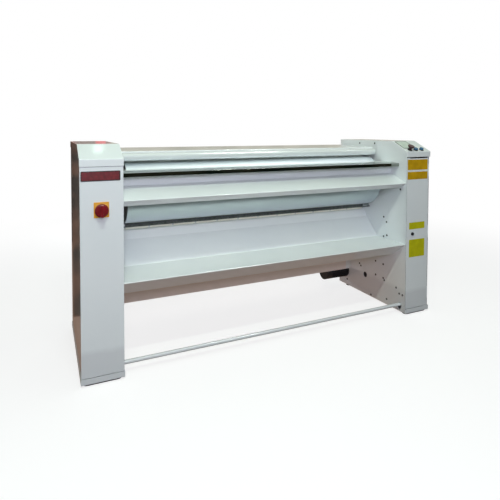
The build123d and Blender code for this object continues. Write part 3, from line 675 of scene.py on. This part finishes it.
bendSteps = 5
foldedSheets = {
    "topCoverSheet": {"node": "top_cover", "bend": 4 * mm,
                      "line": [(664, 1008), (664, 1043), (323, 1035), (323, 1026)], "back": 2},
    "feedApronSheet": {"node": "feed_apron", "bend": 3 * mm,
                       "line": [(141, 944), (141, 877), (6, 822), (58, 790)], "back": 2},
    "linenTraySheet": {"node": "linen_tray", "bend": 3 * mm,
                       "line": [(407, 612), (376, 556), (263, 443), (6, 442), (117, 357)], "back": 2},
    "rearLowerSheet": {"node": "rear_lower_panel", "bend": 3 * mm,
                       "line": [(660, 600), (541, 545), (541, 146)], "back": -2},
}


def foldedSheetTree():
    tree, given = startTree("foldedSheet", {"Length": "Float", "Bend radius": "Float",
                                            "Thickness": "Float", "Paint": "Material"})
    line = addNode(tree, "GeometryNodeMeshToCurve", {"Mesh": given["Geometry"]})
    bends = addNode(tree, "GeometryNodeFilletCurve", {"Curve": line.outputs[0], "Count": bendSteps,
                                                      "Radius": given["Bend radius"]}, mode="POLY")
    wire = addNode(tree, "GeometryNodeCurveToMesh", {"Curve": bends.outputs[0]})
    across = addNode(tree, "ShaderNodeCombineXYZ", {"X": given["Length"]})
    skin = addNode(tree, "GeometryNodeExtrudeMesh", {
        "Mesh": wire.outputs[0], "Offset": across.outputs[0], "Offset Scale": 1},
        mode="EDGES").outputs["Mesh"]
    front = addNode(tree, "GeometryNodeExtrudeMesh", {"Mesh": skin, "Offset Scale": given["Thickness"],
                                                      "Individual": False}, mode="FACES")
    back = addNode(tree, "GeometryNodeFlipFaces", {"Mesh": skin})
    both = addNode(tree, "GeometryNodeJoinGeometry", {0: [front.outputs["Mesh"], back.outputs[0]]})
    return endTree(tree, both.outputs[0], given["Paint"])


sheetTree = foldedSheetTree()
for pieceName, look in foldedSheets.items():
    node = look["node"]
    low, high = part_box(node)
    points = [(low.x, *sideView(*spot)) for spot in look["line"]]
    base = plainMesh(pieceName, points, edges=[(i, i + 1) for i in range(len(points) - 1)])
    sheet = grow(pieceName, base, sheetTree, {"Length": high.x - low.x, "Bend radius": look["bend"],
                                              "Thickness": look["back"] * mm})
    faceOutwards(sheet)
    roundEdges(sheet, look["bend"], edgeRound["cut"])
    settle(sheet, paintOf[node], "machine", slotOf[node], node)
print("folded sheets:", len(foldedSheets), "between the towers")


# belts and chain: closed lines round circles of the side view (depth, height, radius, side), where
# side is 1 for a circle inside the loop and -1 for one outside; "line" is how far beyond the circles
# a belt's middle runs; all in mm

beltCornerSteps = 3
beltPaths = {
    "ironingBelts": {"node": "ironing_belts", "count": 12, "pitch": 132, "x": -726,
                     "bottom": 122, "top": 122, "thick": 2.4, "corner": 0.7, "line": 1.5,
                     "circles": [(370.6, 1003, 22, 1), (340, 818, 165.5, -1), (370.3, 635, 20, 1),
                                 (590, 690, 25, 1), (590, 985, 25, 1)]},
    "wedgeBelt": {"node": "drive_belt", "count": 1, "pitch": 0, "x": 939,
                  "bottom": 8.4, "top": 12, "thick": 7.7, "corner": 0.8, "line": 4.15,
                  "circles": [(275, 190, 64, 1), (386, 143, 32, 1), (618, 118, 28, 1)]},
}
chain = {
    "node": "drive_chain", "x": 911, "circles": [(340, 818, 121.4, 1), (215, 245, 60.9, 1)],
    "pitch": 19.05, "inner": (5.7, 7.0), "outer": (7.1, 8.3),  # where the plates start and end
    "plateHeight": 12.6, "endRound": 1 / 2.01,  # a share of the height, a hair under half
    "pinRadius": 2.9, "pinEnd": 8.5, "rollerRadius": 5.9, "roundSteps": 6, "pinSides": 20,
}


def loopPoints(circles, offset, stepDegrees=3):
    stops = []
    for (s, z, radius, side), (s2, z2, radius2, side2) in zip(circles, circles[1:] + circles[:1]):
        r1, r2 = side * radius + offset, side2 * radius2 + offset
        span = math.hypot(s2 - s, z2 - z)
        heading = math.atan2(z2 - z, s2 - s) - math.asin(max(-1, min(1, (r2 - r1) / span)))
        across = Vector((-math.sin(heading), math.cos(heading)))
        stops.append((Vector((s, z)) - r1 * across, Vector((s2, z2)) - r2 * across))
    points = []
    for i, (s, z, radius, side) in enumerate(circles):
        start, end = stops[i - 1][1], stops[i][0]
        first = math.atan2(start.y - z, start.x - s)
        turn = (math.atan2(end.y - z, end.x - s) - first) * side % (2 * math.pi)
        steps = max(1, round(math.degrees(turn) / stepDegrees))
        reach = abs(side * radius + offset)
        for k in range(steps + 1):
            angle = first + side * turn * k / steps
            points.append((s + reach * math.cos(angle), z + reach * math.sin(angle)))
    return points


def closedLine(name, x, circles, offset):
    points = [(x * mm, *sideView(*spot)) for spot in loopPoints(circles, offset)]
    return plainMesh(name, points, edges=[(i, (i + 1) % len(points)) for i in range(len(points))])


def beltTree():
    tree, given = startTree("belt", {"Bottom width": "Float", "Top width": "Float",
                                     "Thickness": "Float", "Corner": "Float", "Count": "Int",
                                     "Pitch": "Float", "Paint": "Material"})
    line = addNode(tree, "GeometryNodeMeshToCurve", {"Mesh": given["Geometry"]})
    flat = addNode(tree, "GeometryNodeSetCurveNormal", {"Curve": line.outputs[0], "Normal": (1, 0, 0)},
                   mode="FREE")
    outline = addNode(tree, "GeometryNodeCurvePrimitiveQuadrilateral", {
        "Height": given["Thickness"], "Bottom Width": given["Bottom width"],
        "Top Width": given["Top width"], "Offset": 0}, mode="TRAPEZOID")
    soft = addNode(tree, "GeometryNodeFilletCurve", {
        "Curve": outline.outputs[0], "Count": beltCornerSteps, "Radius": given["Corner"]}, mode="POLY")
    band = addNode(tree, "GeometryNodeCurveToMesh", {"Curve": flat.outputs[0],
                                                     "Profile Curve": soft.outputs[0]})
    step = addNode(tree, "ShaderNodeCombineXYZ", {"X": given["Pitch"]})
    row = addNode(tree, "GeometryNodeMeshLine", {"Count": given["Count"], "Offset": step.outputs[0]})
    belts = addNode(tree, "GeometryNodeInstanceOnPoints", {"Points": row.outputs[0],
                                                           "Instance": band.outputs[0]})
    return endTree(tree, belts.outputs[0], given["Paint"])


def plateNodes(tree, start, end):
    # a pair of side plates, from start to end either side of the chain's middle
    outline = addNode(tree, "GeometryNodeCurvePrimitiveQuadrilateral", {
        "Width": (chain["pitch"] + chain["plateHeight"]) * mm, "Height": chain["plateHeight"] * mm})
    ends = addNode(tree, "GeometryNodeFilletCurve", {
        "Curve": outline.outputs[0], "Count": chain["roundSteps"],
        "Radius": chain["plateHeight"] * chain["endRound"] * mm}, mode="POLY")
    face = addNode(tree, "GeometryNodeFillCurve", {"Curve": ends.outputs[0]}, mode="NGONS")
    plates = []
    for first in (start, -end):
        slab = addNode(tree, "GeometryNodeExtrudeMesh", {
            "Mesh": face.outputs[0], "Offset Scale": (end - start) * mm}, mode="FACES")
        under = addNode(tree, "GeometryNodeFlipFaces", {"Mesh": face.outputs[0]})
        both = addNode(tree, "GeometryNodeJoinGeometry", {0: [slab.outputs["Mesh"], under.outputs[0]]})
        plates.append(addNode(tree, "GeometryNodeTransform", {
            "Geometry": both.outputs[0], "Translation": (0, 0, first * mm)}).outputs[0])
    return plates


def pinNodes(tree, radius, reach):
    pins = []
    for end in (-1, 1):
        pin = addNode(tree, "GeometryNodeMeshCylinder", {
            "Vertices": chain["pinSides"], "Radius": radius * mm, "Depth": 2 * reach * mm})
        pins.append(addNode(tree, "GeometryNodeTransform", {
            "Geometry": pin.outputs["Mesh"],
            "Translation": (end * chain["pitch"] / 2 * mm, 0, 0)}).outputs[0])
    return pins


def chainTree():
    # pin links and roller links in turn; each is made lying flat, then stood on the line
    tree, given = startTree("chain", {"Links": "Int", "Paint": "Material"})
    line = addNode(tree, "GeometryNodeMeshToCurve", {"Mesh": given["Geometry"]})
    spots = addNode(tree, "GeometryNodeCurveToPoints", {"Curve": line.outputs[0],
                                                        "Count": given["Links"]})
    kinds = []
    for plates, radius, reach in ((chain["outer"], chain["pinRadius"], chain["pinEnd"]),
                                  (chain["inner"], chain["rollerRadius"], chain["inner"][0])):
        parts = plateNodes(tree, *plates) + pinNodes(tree, radius, reach)
        link = addNode(tree, "GeometryNodeJoinGeometry", {0: parts})
        upright = addNode(tree, "GeometryNodeTransform", {"Geometry": link.outputs[0],
                                                          "Rotation": (math.pi / 2, 0, math.pi / 2)})
        kind = addNode(tree, "GeometryNodeGeometryToInstance", {0: upright.outputs[0]})
        kinds.append(kind.outputs[0])
    pair = addNode(tree, "GeometryNodeJoinGeometry", {0: kinds})
    number = addNode(tree, "GeometryNodeInputIndex")
    odd = addNode(tree, "ShaderNodeMath", {0: number.outputs[0], 1: 2}, operation="MODULO")
    along = addNode(tree, "FunctionNodeAlignRotationToVector", {"Vector": spots.outputs["Tangent"]},
                    axis="Y", pivot_axis="X")
    links = addNode(tree, "GeometryNodeInstanceOnPoints", {
        "Points": spots.outputs["Points"], "Instance": pair.outputs[0], "Pick Instance": True,
        "Instance Index": odd.outputs[0], "Rotation": along.outputs[0]})
    return endTree(tree, links.outputs[0], given["Paint"])


loopTree = beltTree()
for pieceName, look in beltPaths.items():
    base = closedLine(pieceName, look["x"], look["circles"], look["line"])
    values = {"Bottom width": look["bottom"] * mm, "Top width": look["top"] * mm,
              "Thickness": look["thick"] * mm, "Corner": look["corner"] * mm,
              "Count": look["count"], "Pitch": look["pitch"] * mm}
    belts = grow(pieceName, base, loopTree, values)
    faceOutwards(belts)
    belts.data.shade_smooth()
    settle(belts, paintOf[look["node"]], "machine", slotOf[look["node"]], look["node"])

chainLine = closedLine("rollerChain", chain["x"], chain["circles"], 0)
points = [v.co for v in chainLine.vertices]
around = sum((a - b).length for a, b in zip(points, points[1:] + points[:1]))
links = 2 * round(around / mm / chain["pitch"] / 2)
rollerChain = grow("rollerChain", chainLine, chainTree(), {"Links": links})
faceOutwards(rollerChain)
settle(rollerChain, paintOf[chain["node"]], "machine", slotOf[chain["node"]], chain["node"])
print("drive:", links, "chain links and", len(beltPaths), "kinds of belt")


# screws: hexagon heads on washers inside the towers, pan heads with a cross on the rear sheets; in mm

hexScrew = {"washer": 6.4, "washerThick": 0.7, "head": 5.3, "top": 4.6, "flat": 1.5, "crown": 0.6,
            "roundSides": 24, "sides": 6}
panScrew = {"radius": 5.5, "height": 2.2, "slot": 0.9, "reach": 3, "deep": 1.2,
            "segments": 24, "rings": 16}
rearColumns = {"x": (868, 1022), "z": (60, 290, 520, 750, 1000), "depth": 677}  # on the towers
rearRows = {"x": (-831, 831), "count": 7, "heightAndDepth": ((612, 662), (1026, 664))}  # between them


def headSpots(node):
    # the middle of each head where it meets the wall, from the separate shells of the CAD mesh,
    # sorted so that each run turns them the same way
    work = openMesh(frame["nodes"][node].data)
    bmesh.ops.remove_doubles(work, verts=work.verts, dist=edgeRound["weld"])
    left = set(work.verts)
    spots = []
    while left:
        shell, edge = [], [left.pop()]
        while edge:
            vert = edge.pop()
            shell.append(vert.co.copy())
            for link in vert.link_edges:
                other = link.other_vert(vert)
                if other in left:
                    left.remove(other)
                    edge.append(other)
        xs, ys, zs = zip(*shell)
        spots.append((math.copysign(max(map(abs, xs)), xs[0]), (min(ys) + max(ys)) / 2,
                      (min(zs) + max(zs)) / 2))
    work.free()
    return sorted(spots)


def cylinderNode(tree, sides, radius, top, low, height):
    cone = addNode(tree, "GeometryNodeMeshCone", {"Vertices": sides, "Radius Top": top * mm,
                                                  "Radius Bottom": radius * mm, "Depth": height * mm})
    return addNode(tree, "GeometryNodeTransform", {"Geometry": cone.outputs["Mesh"],
                                                   "Translation": (0, 0, low * mm)}).outputs[0]


def hexHead(tree):
    look = hexScrew
    seat = look["washerThick"]
    crownFoot = seat + look["flat"]
    parts = [cylinderNode(tree, look["roundSides"], look["washer"], look["washer"], 0, seat),
             cylinderNode(tree, look["sides"], look["head"], look["head"], seat, look["flat"]),
             cylinderNode(tree, look["sides"], look["head"], look["top"], crownFoot, look["crown"])]
    return addNode(tree, "GeometryNodeJoinGeometry", {0: parts}).outputs[0]


def panHead(tree):
    look = panScrew
    dome = addNode(tree, "GeometryNodeMeshUVSphere", {
        "Segments": look["segments"], "Rings": look["rings"], "Radius": look["radius"] * mm})
    flat = addNode(tree, "GeometryNodeTransform", {
        "Geometry": dome.outputs["Mesh"], "Scale": (1, 1, look["height"] / look["radius"])})
    bars = []
    long, wide, high = 2 * look["reach"] * mm, look["slot"] * mm, 2 * look["deep"] * mm
    for size in ((long, wide, high), (wide, long, high)):
        bar = addNode(tree, "GeometryNodeMeshCube", {"Size": size})
        bars.append(addNode(tree, "GeometryNodeTransform", {
            "Geometry": bar.outputs["Mesh"], "Translation": (0, 0, look["height"] * mm)}).outputs[0])
    cut = addNode(tree, "GeometryNodeMeshBoolean", {"Mesh 1": flat.outputs[0], "Mesh 2": bars},
                  operation="DIFFERENCE", solver="EXACT")
    return cut.outputs["Mesh"]


def screwTree(name, head):
    tree, given = startTree(name, {"Seed": "Int", "Paint": "Material"})
    spots = addNode(tree, "GeometryNodeMeshToPoints", {"Mesh": given["Geometry"]})
    outwards = addNode(tree, "GeometryNodeInputNamedAttribute", {"Name": "outwards"},
                       data_type="FLOAT_VECTOR")
    stand = addNode(tree, "FunctionNodeAlignRotationToVector", {"Vector": outwards.outputs[0]},
                    axis="Z")
    heads = addNode(tree, "GeometryNodeInstanceOnPoints", {
        "Points": spots.outputs[0], "Instance": head(tree), "Rotation": stand.outputs[0]})
    spin = addNode(tree, "FunctionNodeRandomValue", {3: math.pi, "Seed": given["Seed"]},
                   data_type="FLOAT")
    turn = addNode(tree, "ShaderNodeCombineXYZ", {"Z": spin.outputs[1]})
    turned = addNode(tree, "GeometryNodeRotateInstances", {"Instances": heads.outputs[0],
                                                           "Rotation": turn.outputs[0]})
    return endTree(tree, turned.outputs[0], given["Paint"])


def rearSpots():
    spots = [(side * x * mm, *sideView(rearColumns["depth"], z))
             for side in (-1, 1) for x in rearColumns["x"] for z in rearColumns["z"]]
    left, right = rearRows["x"]
    step = (right - left) / (rearRows["count"] - 1)
    return spots + [((left + i * step) * mm, *sideView(depth, z))
                    for i in range(rearRows["count"]) for z, depth in rearRows["heightAndDepth"]]


def towardsMiddle(spot):
    return math.copysign(1, -spot[0]), 0, 0


def towardsRear(spot):
    return 0, 1, 0


screwSets = {
    "wallScrewHeads": {"spots": headSpots("wall_screws"), "outwards": towardsMiddle, "seed": 7,
                       "tree": screwTree("hexScrew", hexHead), "paint": "oiledSteel",
                       "slot": "dark_steel", "nodes": ("wall_screws",)},
    "rearScrewHeads": {"spots": rearSpots(), "outwards": towardsRear, "seed": 3,
                       "tree": screwTree("panScrew", panHead), "paint": "brightSteel",
                       "slot": "bright_steel", "nodes": ()},
}
for pieceName, look in screwSets.items():
    base = plainMesh(pieceName, look["spots"])
    directions = base.attributes.new("outwards", "FLOAT_VECTOR", "POINT")
    for spot, value in zip(look["spots"], directions.data):
        value.vector = look["outwards"](spot)
    heads = grow(pieceName, base, look["tree"], {"Seed": look["seed"]})
    faceOutwards(heads)
    settle(heads, paints[look["paint"]], "machine", look["slot"], *look["nodes"])
    print("screws:", len(look["spots"]), pieceName)
